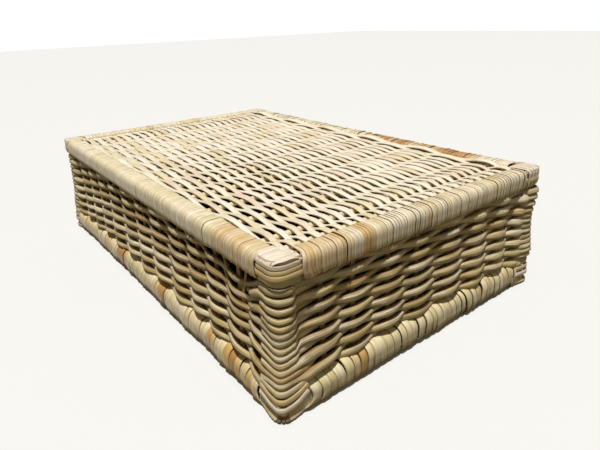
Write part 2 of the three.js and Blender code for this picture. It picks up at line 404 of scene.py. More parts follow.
finishBase = {
    "warmth": 0.90,  # less than 1 takes blue out of the colours
    "sheen": 0.25,
    "toneDrift": 0.16,
    "streaksAcross": 7,
    "streakDepth": 0.75,
    "streakColour": (0.70, 0.58, 0.38),
    "fibreDepth": 0.55,
    # painted shade along the edges of every strip, where it meets the next one: where it starts, how strong,
    # and its colour
    "edgeShadeFrom": 0.4,
    "edgeShadeDepth": 0.85,
    "edgeShadeColour": (0.46, 0.32, 0.18),
    "stain": 0.5,
    "stainColour": (0.50, 0.33, 0.15),
    "scarDepth": 0.8,
    "scarColour": (0.35, 0.20, 0.10),
    "roughLow": 0.36,
    "roughHigh": 0.56,
    "bump": 0.6,
    "bumpHeight": 0.0006,  # in metres
    "fibreRelief": 0.6,  # beside that of the streaks
}
weaverFinish = dict(
    finishBase,
    warmth=0.98,
    sheen=0.1,
    colours=(
        (0, paleCream), (0.2, whiteCane), (0.42, paleCream), (0.6, whiteCane),
        (0.76, (0.86, 0.75, 0.50)), (0.88, (0.87, 0.74, 0.62)), (1, (0.80, 0.75, 0.52)),
    ),
    streakDepth=0.42,
    fibreDepth=0.32,
    stain=0.3,
    scarDepth=0.6,
    toneDrift=0.13,
)
wallFinish = dict(
    finishBase,
    colours=(
        (0, paleCream), (0.2, straw), (0.4, paleCream), (0.55, oldGrey), (0.7, straw), (0.85, tan),
        (1, greenStraw),
    ),
    streakDepth=0.85,
    # painted shade: stronger and darker between the rows
    edgeShadeFrom=0.31,
    edgeShadeDepth=1,
    edgeShadeColour=(0.30, 0.19, 0.08),
    stain=0.7,
    toneDrift=0.28,
    bump=0.9,
)
bandFinish = dict(
    finishBase,
    colours=(
        (0, whiteCane), (0.3, paleCream), (0.5, (0.82, 0.74, 0.46)), (0.62, (0.85, 0.69, 0.55)),
        (0.76, gold), (0.86, cream), (1, orangeBrown),
    ),
    streaksAcross=4,
    streakDepth=0.8,
    fibreDepth=0.5,
    # painted shade between the turns of the band
    edgeShadeFrom=0.38,
    edgeShadeDepth=0.9,
    stain=0.45,
)
rollFinish = dict(
    finishBase,
    warmth=0.80,
    colours=(
        (0, whiteCane), (0.22, paleCream), (0.36, (0.80, 0.74, 0.48)), (0.5, paleCream),
        (0.68, cream), (0.82, gold), (1, orangeBrown),
    ),
    streaksAcross=10,
    # painted shade between the turns of the roll
    edgeShadeDepth=0.7,
    edgeShadeColour=(0.36, 0.25, 0.12),
    stain=0.35,
)
cornerFinish = dict(
    finishBase,
    warmth=0.96,
    colours=(
        (0, whiteCane), (0.18, (0.92, 0.81, 0.70)), (0.34, paleCream), (0.5, straw), (0.62, gold),
        (0.74, cream), (0.84, greenStraw), (0.94, shadeBrown),
    ),
    toneDrift=0.1,
    streakDepth=0.5,
    fibreDepth=0.4,
    stain=0.3,
    scarDepth=0.3,
)
stakeFinish = dict(
    finishBase,
    colours=((0, straw), (0.4, tan), (0.7, oldGrey), (1, straw)),
    roughLow=0.6,
    roughHigh=0.8,
)
ribFinish = dict(
    finishBase,
    colours=((0, cream), (0.35, paleCream), (0.65, cream), (0.85, pinkCream), (1, straw)),
    streakDepth=0.4,
    fibreDepth=0.3,
    edgeShadeDepth=0.3,
)

flatStrip = {"sectionPoints": 10, "crown": 0.16, "back": 0.06, "fullness": 0.7}


def stripLook(name, finish):
    return dict(flatStrip, material=caneMaterial(name, finish))


looks = {
    "weavers": stripLook("weaverCane", weaverFinish),
    "wall": dict(stripLook("wallCane", wallFinish), crown=0.4),
    "band": dict(stripLook("bandCane", bandFinish), sectionPoints=8, crown=0.14, back=0.05),
    "roll": dict(stripLook("rollCane", rollFinish), crown=0.1, back=0.03),
    "corner": dict(stripLook("cornerCane", cornerFinish), crown=0.17),
    "stakes": dict(stripLook("stakeCane", stakeFinish), crown=0.34, back=0.34, fullness=0.9),
    "ribs": dict(stripLook("ribCane", ribFinish), crown=0.46, back=0.25, fullness=0.9),
}
looks["cornerTop"] = dict(looks["corner"], crown=0.09, back=0.05)
print("materials made:", len(looks))


# base
base = {
    "weavers": 52,
    "step": 2.6,  # between points of a strip
    "height": weaveMiddle + 0.5,
    "thin": 5.15,  # strip width where it crosses the middle of the weave
    "fat": 5.9,  # and where it lies over a rib
    "closeFat": 3.7,  # added where the weave is close
    "closeThin": 1.25,
    "swing": 2.55,
    "closeSwing": 0.56,  # share of the swing that is lost where the weave is close
    "lift": 2.3,  # the strips ride up on to the bands
    "liftReach": 14,
    # strips beside the bands, counted from the front: how far they are moved along y, and how much wider
    "edgeOut": {0: -0.9, 1: -0.4, 50: 0.8, 51: 1.5},
    "edgeFat": {0: -0.5, 49: 1.2, 50: 2.4, 51: 3.0},
    "ribWidth": 5.2,
    "ribDrop": 0.95,
    "ribJitter": 1.3,
    "ribStray": 1.6,  # a rib as a whole strays this much more than its own parts do
    "wander": 1.4,
    "stray": 0.8,
    "heave": 0.3,
    "twist": 0.2,
    "unevenWidth": 0.14,
}
# where the weave grows loose or close, from and to, measured from the middle of the base
weaveChange = {
    "right": (-110, 90),  # loose towards the right
    "front": (50, -40),  # and more so towards the front
    "frontBand": (-116, -130),  # close again beside the front band
    "frontBandLeft": (95, 25),  # but for its right end
    "rightEnd": (135, 180),  # loose at both ends
    "leftEnd": (-172, -186),
}
# and how loose or close it is there, of 1
looseness = {"least": 0.07, "back": 0.4, "frontBand": 0.8, "rightEnd": 0.85, "leftEnd": 0.7, "uneven": 0.3}
ribPlaces = []
for name in ribNodes:
    low, high = boxMm(name)
    ribPlaces.append((low[0] + high[0]) / 2)
ribPlaces.sort()
weaveHalfLength, weaveHalfWidth = boxMm("base_weave")[1][:2]


def ribAt(index, y):
    stray = drift(index * 7.3, 0.5) * base["ribStray"] + drift(y / 80, index * 3.1)
    return ribPlaces[index] + base["ribJitter"] * stray


def openness(x, y):
    # 0 where the weave is close, 1 where it is loose
    least, back = looseness["least"], looseness["back"]
    loose = rise(x, *weaveChange["right"]) * (back + (1 - back) * rise(y, *weaveChange["front"]))
    beside = rise(y, *weaveChange["frontBand"]) * rise(x, *weaveChange["frontBandLeft"])
    loose *= 1 - looseness["frontBand"] * beside
    for end in ("rightEnd", "leftEnd"):
        loose = max(loose, looseness[end] * rise(x, *weaveChange[end]))
    return within(least + (1 - least) * loose + looseness["uneven"] * drift(x / 40, y / 30, 8))


def liftAt(x, y):
    # the weave stands a little higher where it runs under the bands
    beside = min(weaveHalfLength - abs(x), weaveHalfWidth - abs(y))
    return base["lift"] * rise(beside, base["liftReach"], 0)


def makeBaseRibs():
    canes = []
    reach = weaveHalfWidth + bandDepth - wallInset
    level = base["height"] - base["ribDrop"]
    for index in range(len(ribPlaces)):
        ys = np.linspace(-reach, reach, 60)
        points = [(ribAt(index, y), y, level + base["heave"] * drift(y / 40, index * 2.2, 4)) for y in ys]
        faces = [(0, 0, 1)] * len(points)
        canes.append(cane(points, faces, base["ribWidth"], 0.5 + 0.5 * drift(index * 5.7, 9.1)))
    sweepCanes("baseRibs", canes, looks["ribs"], ribNodes)


def makeBaseWeavers():
    rng = np.random.default_rng(7)
    canes = []
    pitch = 2 * weaveHalfWidth / base["weavers"]
    ribs = range(len(ribPlaces))
    for k in range(base["weavers"]):
        y = -weaveHalfWidth + pitch * (k + 0.5)
        knots = [-weaveHalfLength] + [ribAt(i, y) for i in ribs] + [weaveHalfLength]
        signs = [0] + [1 if (i + k) % 2 else -1 for i in ribs] + [0]
        tone = rng.random()
        edgeOut = base["edgeOut"].get(k, 0)
        edgeFat = base["edgeFat"].get(k, 0)
        points, faces, wide = [], [], []
        for x in np.arange(-weaveHalfLength, weaveHalfLength + 0.1, base["step"]):
            up = overUnder(knots, signs, x)
            side = base["wander"] * drift(x / 75, y / 26, 1) + base["stray"] * drift(x / 48, k * 1.7, 2)
            close = 1 - openness(x, y)
            swing = base["swing"] * (1 - base["closeSwing"] * close)
            z = base["height"] + swing * up + base["heave"] * drift(x / 30, k * 2.3, 3) + liftAt(x, y)
            fat = base["fat"] + base["closeFat"] * close
            thin = base["thin"] + base["closeThin"] * close
            uneven = 1 + base["unevenWidth"] * drift(x / 70, k * 4.9, 6)
            points.append((x, y + side + edgeOut, z))
            wide.append((thin + (fat - thin) * up * up) * uneven + edgeFat)
            faces.append((0, base["twist"] * drift(x / 45, k * 3.1, 5), 1))
        canes.append(cane(points, faces, wide, tone))
    sweepCanes("baseWeavers", canes, looks["weavers"], ["base_weave"])


makeBaseRibs()
makeBaseWeavers()
print("base woven")


# walls
wall = {
    "thin": 5.2,
    "fat": 6.2,
    "closeFat": 1.7,  # added away from the near corner, where the rows are woven closer
    "closeOver": {"front": (45, 120), "right": (10, 85)},
    "farFat": 2.3,  # and again past the middle of the right side, and all along the back and left
    "farOver": (140, 230),
    "bayFat": 1.3,  # and in the first bay of the right side
    "bayMiddle": 33,
    "bayReach": 17,
    "cornerWidth": 5.7,
    "cornerOver": (22, 14),
    "unevenWidth": 0.1,
    "swing": 3.0,
    "step": 2.7,
    "stakeWidth": 4.6,
    "stakeLean": 0.035,
    "stakeWaver": 0.3,
    "cornerStay": 19,  # rows stay outside this far from a corner
    # the next three give two heights, and the size at each of them
    "cornerRound": ((52, 88), (3.6, 9.4)),  # middle line of a row round a corner
    "lean": ((88, 28), (-0.5, 1.5)),  # how far the rows stand out along a side
    "flare": ((62, 26), (0.8, 3.4)),  # and at the corners
    "flareFrom": 8,
    "flareReach": 11,
    "cornerOut": {"back_right": 2.6},  # the rows there stand further out
    "cornerOutOver": (24, 36),
    "groove": (12.5, 20),  # beside the near corner the upper rows of the right side go in here
    "grooveOver": (36, 54),
    "grooveDepth": 1.4,
    "grooveStep": 0.25,
    # how far the faces turn up under the base band and above the rim
    "faceUp": {"front": (-0.3, 0.42), "right": (-0.12, 0.04), "back": (-0.12, 0.04), "left": (-0.12, 0.2)},
    "faceUpOver": (80, 35),
    "faceUpFrom": (20, 40),
    "farUp": 0.34,  # and how far they turn up at the far ends of the two near sides
    "farUpOver": (0.6, 0.9),
    "rock": 0.22,
    "sag": 0.8,
    "stray": 0.35,
    # where the rim is pressed down the rows sink and stand out with it
    "slumpFrom": (5, 23),
    "slumpOver": (58, 24),
    "slumpOut": 0.28,
    "slumpOutOver": (50, 25),
    "looseSpot": 48,  # the top rows have slipped down this far from the front right corner
    "looseReach": 21,
    "looseDrop": 9.0,
    "looseOver": (46, 86),
    # from the rim up
    "tones": (0.72, 0.2, 0.92, 0.4, 0.1, 0.55, 0.3, 0.62, 0.45, 0.78, 0.74, 0.3, 0.15, 0.6),
}
corner = {
    "reach": 24,  # the windings stop this far from each corner
    "tuckFrom": 4,  # the bent strips tuck in over this length before that
    "over": 4,  # and run on this far past it
    "step": 2,  # between points of a bent strip
    # beside the near corner the rim is pressed down: how much, and over what length
    "slump": {"front": (5, 32), "right": (3.5, 34)},
    "droop": {"front_right": 5.8, "back_right": 3.2, "back_left": 2.6, "front_left": 3.4},
    "droopOver": (96, 76),
    "droopLess": 0.28,  # share of the droop that is lost again near the rim
    "droopLessOver": (45, 30),
    "spread": 19,
    "tuck": 2.2,
    "round": 8.6,
    "waver": 0.3,
}
# places of the stakes from the near corner on the two sides that were measured, even on the others
stakeGaps = {
    "front": [26, 52, 84, 113, 145, 186, 222, 255, 296, 330, 362, 395, 426],
    "right": [40, 68, 103, 135, 173, 209, 243, 271],
    "back": [30 + 33 * i for i in range(13)],
    "left": [30 + 33 * i for i in range(8)],
}
stakePlaces = {}
for name, gaps in stakeGaps.items():
    places = [gap - sides[name]["half"] for gap in gaps]
    stakePlaces[name] = sorted(-place for place in places) if name == "front" else places
# the lath inside the rim that the stakes are let into
innerLath = {"width": 11, "inset": wallInset + 3.4, "height": 7.5, "tone": 0.3}
# two slips of cane that show crossed where the top rows have slipped: their heights, and for each
# the distances from the near corner at its top and foot, and its inset
slips = {"width": 2.2, "tone": 0.2, "heights": (101, 60), "places": ((37, 49, 4.9), (52, 43, 5.6))}
farAway = 999  # how far the back and left sides are taken to be from the near corner


def awayFromNear(name, s):
    # distance from the near corner along the two sides that meet there
    half = sides[name]["half"]
    return {"front": half - s, "right": half + s}.get(name, farAway)


def stakeAt(name, index, z):
    lean = wall["stakeLean"] * drift(index * 4.7, len(name) * 1.3) * (z - basketHeight / 2)
    return stakePlaces[name][index] + lean


def dip(name, run, z):
    # strips sink where they pass the middle of a corner, least just under the base band
    share = rise(z, *corner["droopOver"]) - corner["droopLess"] * rise(z, *corner["droopLessOver"])
    return corner["droop"][name] * share * fadeOut(run, corner["spread"], 1.3)


def slump(side, fromNear):
    deep, far = corner["slump"].get(side, (0, 1))
    return deep * fadeOut(max(fromNear - corner["reach"], 0), far)


def outAt(cornerName, z):
    # how far out the rows stand at a corner
    return graded(z, *wall["flare"]) + wall["cornerOut"].get(cornerName, 0) * rise(z, *wall["cornerOutOver"])


def cornerEnds(name):
    # the corners at the start and the end of a side
    start = next(c for c, pair in cornerSides.items() if pair[1] == name)
    end = next(c for c, pair in cornerSides.items() if pair[0] == name)
    return start, end


def directions(name):
    # along the first and the second side of a corner
    return [np.array([*sides[side]["along"], 0.0]) for side in cornerSides[name]]


def onArc(name, inset, radius, angle):
    # where a rounded corner is at an angle from its first side, and which way it faces there
    a, b = directions(name)
    sin, cos = math.sin(angle), math.cos(angle)
    return inset + radius - radius * sin, inset + radius - radius * cos, a * sin - b * cos


def cornerArc(name, inset, radius, z, steps=9):
    # points and outward directions from the first side to the second
    points, faces = [], []
    for i in range(steps):
        angle = math.pi / 2 * i / (steps - 1)
        u, v, outward = onArc(name, inset, radius, angle)
        level = z(radius * abs(angle - math.pi / 4)) if callable(z) else z
        points.append(onCorner(name, u, v, level))
        faces.append(outward)
    return points, faces


def rowKnots(name, row, crossed, z, start):
    # where a row crosses the stakes of a side, with 1 where it passes inside and -1 where outside
    half = sides[name]["half"]
    knots, signs = [-start, -half + wall["cornerStay"]], [-1, -1]
    if name == "right":
        depth = wall["grooveDepth"] * rise(z, *wall["grooveOver"]) + wall["grooveStep"] * (-1) ** row
        knots[1:] = [-half + away for away in wall["groove"]]
        signs.append(-1 + depth)
    for i in range(len(stakeGaps[name])):
        knots.append(stakeAt(name, i, z))
        signs.append(1 if (crossed + i + row) % 2 else -1)
    return knots + [half - wall["cornerStay"], start], signs + [-1, -1]


def rowShift(name, s, z, radius):
    # how far out of the wall's middle a row stands on a side, and how far it has sunk
    half = sides[name]["half"]
    turn = wallInset - wall["swing"] + radius
    lean = graded(z, *wall["lean"])
    out, sink = lean, 0
    for end, away in zip(cornerEnds(name), (s + half, half - s)):
        sink += dip(end, max(away - turn, 0) + math.pi / 4 * radius, z)
        out += (outAt(end, z) - lean) * fadeOut(max(away - wall["flareFrom"], 0), wall["flareReach"])
    toNear = awayFromNear(name, s)
    pressed = slump(name, toNear) * rise(toNear, *wall["slumpFrom"])
    sink += pressed * rise(z, *wall["slumpOver"])
    out += wall["slumpOut"] * pressed * rise(z, *wall["slumpOutOver"])
    if name == "front":
        slipped = fadeOut(toNear - wall["looseSpot"], wall["looseReach"], 4)
        sink += wall["looseDrop"] * slipped * rise(z, *wall["looseOver"])
    return out, sink


def rowWidth(name, s, way):
    toNear = awayFromNear(name, s)
    fat = wall["fat"] + wall["closeFat"] * rise(toNear, *wall["closeOver"].get(name, (0, 1)))
    if name != "front":
        fat += wall["farFat"] * rise(toNear, *wall["farOver"])
    width = wall["thin"] + (fat - wall["thin"]) * way * way
    if name == "right":
        width += wall["bayFat"] * fadeOut(toNear - wall["bayMiddle"], wall["bayReach"])
    fromEnd = sides[name]["half"] - abs(s)
    return width + (wall["cornerWidth"] - width) * rise(fromEnd, *wall["cornerOver"])


def rowTurn(name, s, z):
    # how far a row's face is turned up
    half = sides[name]["half"]
    toNear = awayFromNear(name, s)
    far = rise(toNear / half / 2, *wall["farUpOver"]) if toNear < farAway else 0
    faceUp = graded(z, wall["faceUpOver"], wall["faceUp"][name])
    return faceUp * rise(half - abs(s), *wall["faceUpFrom"]) + wall["farUp"] * far


def makeWallRow(row, node):
    low, high = boxMm(node)
    z = (low[2] + high[2]) / 2
    radius = graded(z, *wall["cornerRound"])
    outside = wallInset - wall["swing"]
    points, wide, turned = [], [], []
    crossed = 0
    for name, cornerName in zip(sides, cornerSides):
        start = sides[name]["half"] - outside - radius
        knots, signs = rowKnots(name, row, crossed, z, start)
        crossed += len(stakeGaps[name])
        for s in np.arange(-start, start, wall["step"]):
            way = overUnder(knots, signs, s)
            out, sink = rowShift(name, s, z, radius)
            points.append(onSide(name, s, wallInset + wall["swing"] * way - out, z - sink))
            wide.append(rowWidth(name, s, way))
            turned.append(rowTurn(name, s, z))
        inset = outside - outAt(cornerName, z)
        arc = cornerArc(cornerName, inset, radius, lambda run: z - dip(cornerName, run, z))[0]
        points += arc
        wide += [wall["cornerWidth"]] * len(arc)
        turned += [wall["farUp"] if cornerName in ("back_right", "front_left") else 0] * len(arc)
    points = np.array(points)
    ahead = np.roll(points, -1, axis=0) - np.roll(points, 1, axis=0)
    faces = np.stack([ahead[:, 1], -ahead[:, 0], np.zeros(len(points))], axis=1)
    faces /= np.linalg.norm(faces, axis=1)[:, None]
    wide = np.array(wide)
    for i, p in enumerate(points):
        x, y = p[0], p[1]
        faces[i, 2] = turned[i] + wall["rock"] * drift(x / 40, y / 40, row * 1.9)
        wide[i] *= 1 + wall["unevenWidth"] * drift(x / 50, y / 50, row * 3.3)
        sag = wall["sag"] * drift(x / 60, y / 60, row * 0.45)
        p[2] += sag + wall["stray"] * drift(x / 18, y / 18, row * 2.1)
    line = cane(points, faces, wide, wall["tones"][row], closed=True)
    sweepCanes(f"wallRow{row + 1:02d}", [line], looks["wall"], [node])


def makeStakes(name):
    canes = []
    half = sides[name]["half"]
    outward = [-sides[name]["inward"][0], -sides[name]["inward"][1], 0]

    def addCane(points, width, tone):
        canes.append(cane(points, [outward] * len(points), width, tone))

    for i in range(len(stakeGaps[name])):
        zs = np.linspace(rollHeight / 2, basketHeight - 3, 30)
        wavers = [wall["stakeWaver"] * drift(z / 20, i * 3.3) for z in zs]
        insets = [wallInset - graded(z, *wall["lean"]) + waver for z, waver in zip(zs, wavers)]
        points = [onSide(name, stakeAt(name, i, z), inset, z) for inset, z in zip(insets, zs)]
        addCane(points, wall["stakeWidth"], 0.5 + 0.5 * drift(i * 6.1, len(name)))
    if name == "front":
        for top, foot, inset in slips["places"]:
            heights = np.linspace(*slips["heights"], 14)
            places = np.linspace(half - top, half - foot, 14)
            points = [onSide(name, s, inset, z) for s, z in zip(places, heights)]
            addCane(points, slips["width"], slips["tone"])
    ends = np.linspace(cornerReach - half, half - cornerReach, 40)
    points = [onSide(name, s, innerLath["inset"], innerLath["height"]) for s in ends]
    addCane(points, innerLath["width"], innerLath["tone"])
    sweepCanes("stakes_" + name, canes, looks["stakes"], ["side_stakes_" + name])


for row, node in enumerate(rowNodes):
    makeWallRow(row, node)
for name in sides:
    makeStakes(name)
print("walls woven:", len(rowNodes), "rows")


# windings
# what the turns of both kinds share
turning = {
    "pointGap": 2.6,  # a turn's points are no further apart than about this
    "leanKept": 0.8,  # share of its lean that a turn hands on to the next
    "tiltSpread": 0.8,
    "runJitter": 0.09,
    "toneJitter": 0.08,
    "calm": 0.6,  # the tones follow the plan more closely near the end that it starts from
    "calmReach": 40,
    "bulgeReach": 110,
    "fade": 12,
    # spans of one turn, from 0 on its inner side over the top, down the face, under and back up to 1
    "onward": (0.72, 1),  # where it steps on to the next turn
    "leanIn": (0, 0.1),
    "leanOut": (1, 0.8),
    "leanTurn": 0.45,
    "askewFoot": (0.45, 0.72),  # where an end turn goes askew towards its foot
    "askewTop": (0.42, 0.17),  # and over the top, by a share of that
    "topShare": 0.33,
    "fanWiden": 0.04,
}


def roundedLoop(low, high, rounds, steps=5):
    # section points and outward normals: over the top from the inner side, down the face, under and back up
    (i0, z0), (i1, z1) = low, high
    topIn, topOut, footOut, footIn = rounds
    centres = (
        (i1 - topIn, z1 - topIn, topIn, 0),
        (i0 + topOut, z1 - topOut, topOut, 90),
        (i0 + footOut, z0 + footOut, footOut, 180),
        (i1 - footIn, z0 + footIn, footIn, 270),
    )
    points, normals = [], []
    for ci, cz, radius, turn in centres:
        for k in range(steps):
            angle = math.radians(turn + 90 * k / (steps - 1))
            points.append((ci + radius * math.cos(angle), cz + radius * math.sin(angle)))
            normals.append((math.cos(angle), math.sin(angle)))
    # long straights get points of their own, so that a leaning turn stays smooth
    full, fullNormals = [], []
    for (p, n), (q, m) in zip(zip(points, normals), zip(points[1:] + points[:1], normals[1:] + normals[:1])):
        parts = max(1, round(math.dist(p, q) / turning["pointGap"]))
        for k in range(parts):
            t = k / parts
            full.append((p[0] + (q[0] - p[0]) * t, p[1] + (q[1] - p[1]) * t))
            fullNormals.append((n[0] + (m[0] - n[0]) * t, n[1] + (m[1] - n[1]) * t))
    return full, fullNormals


def turnWidths(total, low, high, rng):
    widths = []
    while sum(widths) < total:
        widths.append(low + (high - low) * rng.random())
    return np.array(widths) * total / sum(widths)


def runTones(count, plan, rng):
    # one strip winds several turns before the next one, of another colour, takes over
    tones = []
    while len(tones) < count:
        tone = rng.random()
        for _ in range(rng.integers(*plan["run"])):
            tones.append(within(tone + turning["runJitter"] * rng.normal()))
    return tones


def makeWinding(label, side, plan, look, nodes, seed):
    rng = np.random.default_rng(seed)
    loop, normals = roundedLoop(plan["low"], plan["high"], plan["rounds"])
    # the first and last turns are square on the upper face and askew at the foot
    plain = {"fade": turning["fade"], "more": plan["more"]}
    early = plan["starts"].get(side, dict(plain, fan=plan["fan"]))
    late = plan["ends"].get(side, dict(plain, fan=-plan["fan"]))
    reach = sides[side]["half"] - corner["reach"]
    start = -reach - early["more"]
    end = reach + late["more"]
    widths = turnWidths(end - start, plan["narrow"], plan["broad"], rng)
    turnTones = runTones(len(widths), plan, rng)
    inward = sides[side]["inward"]
    along = sides[side]["along"]
    points, faces, wide, tones = [], [], [], []
    s = start
    leanNow = 0.0
    for width, tone in zip(widths, turnTones):
        leanNow = turning["leanKept"] * leanNow + plan["lean"] * rng.normal()
        fan = early["fan"] * fadeOut(s - start, early["fade"], 1)
        fan += late["fan"] * fadeOut(end - s, late["fade"], 1)
        fromNear = awayFromNear(side, s)
        squash = 1 - plan["slumps"] * slump(side, fromNear) / rollHeight
        bulge = plan["bulge"].get(side, 0) * fadeOut(fromNear, turning["bulgeReach"])
        if side in plan["tones"]:
            fromEnd = reach - s if side == "front" else s + reach
            wanted = np.interp(fromEnd, *plan["tones"][side])
            vary = plan["vary"] * (1 - turning["calm"] * fadeOut(fromEnd, turning["calmReach"]))
            tone = within(wanted + vary * (tone - 0.5) + turning["toneJitter"] * rng.normal())
        swell = plan["swell"] * rng.normal()
        tilt = plan["tilt"] * (1 + turning["tiltSpread"] * rng.normal())
        for k, ((inset, z), (ni, nz)) in enumerate(zip(loop, normals)):
            u = k / len(loop)
            onward = width * rise(u, *turning["onward"])
            closing = rise(u, *turning["leanOut"])
            leaning = leanNow * (turning["leanTurn"] - u) * rise(u, *turning["leanIn"]) * closing
            askew = rise(u, *turning["askewFoot"]) + turning["topShare"] * rise(u, *turning["askewTop"])
            askew *= closing
            place = s + width / 2 + onward + leaning + fan * askew
            lump = swell + plan["lump"] * drift(place / 22, u * 3, seed * 1.3)
            wave = plan["wave"] * drift(place / 90, 0.3, seed * 2.7)
            points.append(onSide(side, place, inset + wave - bulge + ni * lump, z * squash + nz * lump))
            faces.append((inward[0] * ni + along[0] * tilt, inward[1] * ni + along[1] * tilt, nz))
            wide.append(width * (plan["cover"] + turning["fanWiden"] * abs(fan) * askew))
            tones.append(tone)
        s += width
    points = np.array(points)
    points[:, 2] = np.maximum(points[:, 2], plan["floor"])
    line = cane(points, faces, wide, tones)
    sweepCanes(label + "_" + side, [line], look, nodes)


stripBack = 0.5  # the path runs this far under the outer skin
bandPlan = {
    "low": (stripBack, bandBottom + stripBack),
    "high": (bandDepth - stripBack, basketHeight - stripBack - 0.4),
    "rounds": (3.0, 5.5, 4.0, 3.0),
    "narrow": 2.0,
    "broad": 3.8,
    "cover": 1.2,
    "run": (7, 18),
    "lean": 0.6,
    "fan": 1.5,
    "more": 0,
    "starts": {"right": {"fan": 11, "fade": 14, "more": 2.5}},
    "ends": {"front": {"fan": 2, "fade": 9, "more": 1.5}},
    "tilt": 0.12,
    "swell": 0.22,
    "lump": 0.4,
    "wave": 0.5,
    "vary": 0.42,  # how far the tone of a run of turns strays from the plan
    "floor": bandBottom,
    "slumps": 0,
    "bulge": {},
    # tones along the winding: from its near end on the front and right, from its right end on the back,
    # and from its far end on the left
    "tones": {
        "front": (
            (0, 8, 16, 24, 34, 42, 46, 52, 60, 70, 100, 150, 200, 260, 330, 400),
            (0.66, 0.68, 0.64, 0.7, 0.68, 0.74, 0.62, 0.6, 0.2, 0.3, 0.12, 0.3, 0.1, 0.25, 0.1, 0.2),
        ),
        "right": (
            (0, 6, 14, 24, 34, 42, 46, 51, 58, 60, 70, 75, 110, 113, 117, 160, 240),
            (0.62, 0.74, 0.78, 0.74, 0.8, 0.2, 0.4, 0.97, 0.97, 0.3, 0.78, 0.2, 0.1, 0.8, 0.1, 0.22, 0.05),
        ),
        "back": ((0, 25, 45, 80, 130, 170, 200, 400), (0.05, 0.2, 0.98, 0.9, 0.97, 0.8, 0.3, 0.1)),
        "left": ((0, 120, 260), (0.1, 0.3, 0.15)),
    },
}
rollPlan = {
    "low": (-rollProud + stripBack, stripBack + 0.2),
    "high": (2 * wallInset + rollProud - stripBack, rollHeight - stripBack),
    "rounds": (8.0, 8.0, 7.0, 7.0),
    "narrow": 5.0,
    "broad": 9.0,
    "cover": 1.02,
    "run": (2, 6),
    "lean": 2.8,
    "fan": -4,
    "more": 6,
    "starts": {"right": {"fan": -9, "fade": 18, "more": 0.5}},
    "ends": {"front": {"fan": 10, "fade": 20, "more": 0}},
    "tilt": 0.06,
    "swell": 0.3,
    "lump": 0.8,
    "wave": 0.7,
    "vary": 0.42,
    "floor": 1.1,
    "slumps": 1,
    "bulge": {"right": 1.5},
    "tones": {
        "front": (
            (0, 6, 14, 26, 34, 44, 56, 70, 120, 160, 200, 260, 330, 400),
            (0.5, 0.72, 0.86, 0.66, 0.9, 0.72, 0.3, 0.66, 0.36, 0.76, 0.4, 0.72, 0.36, 0.7),
        ),
        "right": ((0, 30, 45, 60, 90, 130, 200), (0.1, 0.45, 0.75, 0.15, 0.5, 0.3, 0.6)),
    },
}
for index, name in enumerate(sides):
    banded = ["base_binding_" + name]
    makeWinding("baseWinding", name, bandPlan, looks["band"], banded, 20 + index)
    rolled = ["rim_binding_" + name, "rim_bar_" + name]
    makeWinding("rimWinding", name, rollPlan, looks["roll"], rolled, 40 + index)
print("bands and rim wound")


# corners
baseCorner = {
    # height of the middle, width and inset of each bent strip, lowest first
    "bent": ((99.4, 5.8, 2.6), (104.2, 5.4, 0.4), (108.4, 2.8, 1.2), (111.9, 4.4, 0.9)),
    "bentNear": (
        (99.0, 5.4, 2.4), (103.4, 4.2, 0.3), (106.9, 3.4, 0.9), (110.2, 3.6, 1.3), (112.6, 3.2, 2.5),
    ),
    "bentTones": (0.84, 0.66, 0.58, 0.22, 0.16),
    # distance from the corner and width of the flat strips over the top
    "flat": ((2.4, 4.2), (6.8, 4.2), (11.2, 4.2), (15.6, 4.2), (20.2, 4.4)),
    "flatNear": ((3.7, 6.4), (9.5, 6.5), (15.0, 6.3), (21.2, 7.0)),
    "leastWidth": 0.8,
    "flatTone": 0.1,
    "flatToneSpread": 0.16,
    # how far down the face they reach, outside the bent strips or, at the near corner, behind them
    "foot": {"front_right": 108.6, "back_right": 97, "back_left": 103, "front_left": 97},
    "footBehind": 2.6,  # their lower ends go in behind the bent strips
    "footBehindOver": (2.6, 0.2),  # between these heights above their feet
    "dive": 3,  # and their other ends in under the first turn of the band
    "diveOver": (13, 23),
    "outside": 0.7,
    "behind": 0.4,
    "top": 0.9,
    "edgeInset": 1.2,
    "edgeRound": 3.2,
    "edgeRoundNear": 4.4,
}
rimCorner = {
    "bent": ((10.6, 4.8, -2.9), (16.6, 5.0, -2.3), (21.9, 5.2, -1.4)),
    "tones": (0.3, 0.62, 0.42),
    "share": (1.0, 0.74, 0.5),  # the upper ones climb less
    "tuck": 5.0,
    # how much they have climbed at a distance from the corner, on its first and second side
    "climb": (((8, 14, 20, 26, 31), (0, 1.5, 3.6, 8, 13)), ((7, 13, 20, 26, 32), (0, 1.6, 6, 10.6, 16))),
    "round": 5.0,
    "footWidth": 3.1,
    "footPitch": 2.55,
    "footBefore": 22,  # how far the upright strips reach from the corner on its two sides
    "footAfter": 27,
    "footTurn": 6.0,
    "footInset": -1.9,
    "footFlare": 1.9,
    "footFlareReach": 15,
    "footRound": 2.2,
    "footUnder": 6,
    "footHighest": 15.5,
    "footLowest": 0.6,
    # heights about the lowest bent strip, and how far in behind it the upright ones are there
    "footTop": ((1, 2.6), (-1.4, 1.6), (-3, 0.8)),
    "footStraight": 0.8,
    "footTone": 0.34,
    "footShade": 0.6,  # painted shade: added to that tone at the corner itself, where the feet stand in the shade under the bent strips
    "footShadeReach": 9,
    "toneJitter": 0.08,
    "widthJitter": 0.1,
}


def climbed(name, side, away):
    # the strips of the other corners climb less
    places, heights = rimCorner["climb"][side]
    return corner["droop"][name] / corner["droop"]["front_right"] * np.interp(away, places, heights)


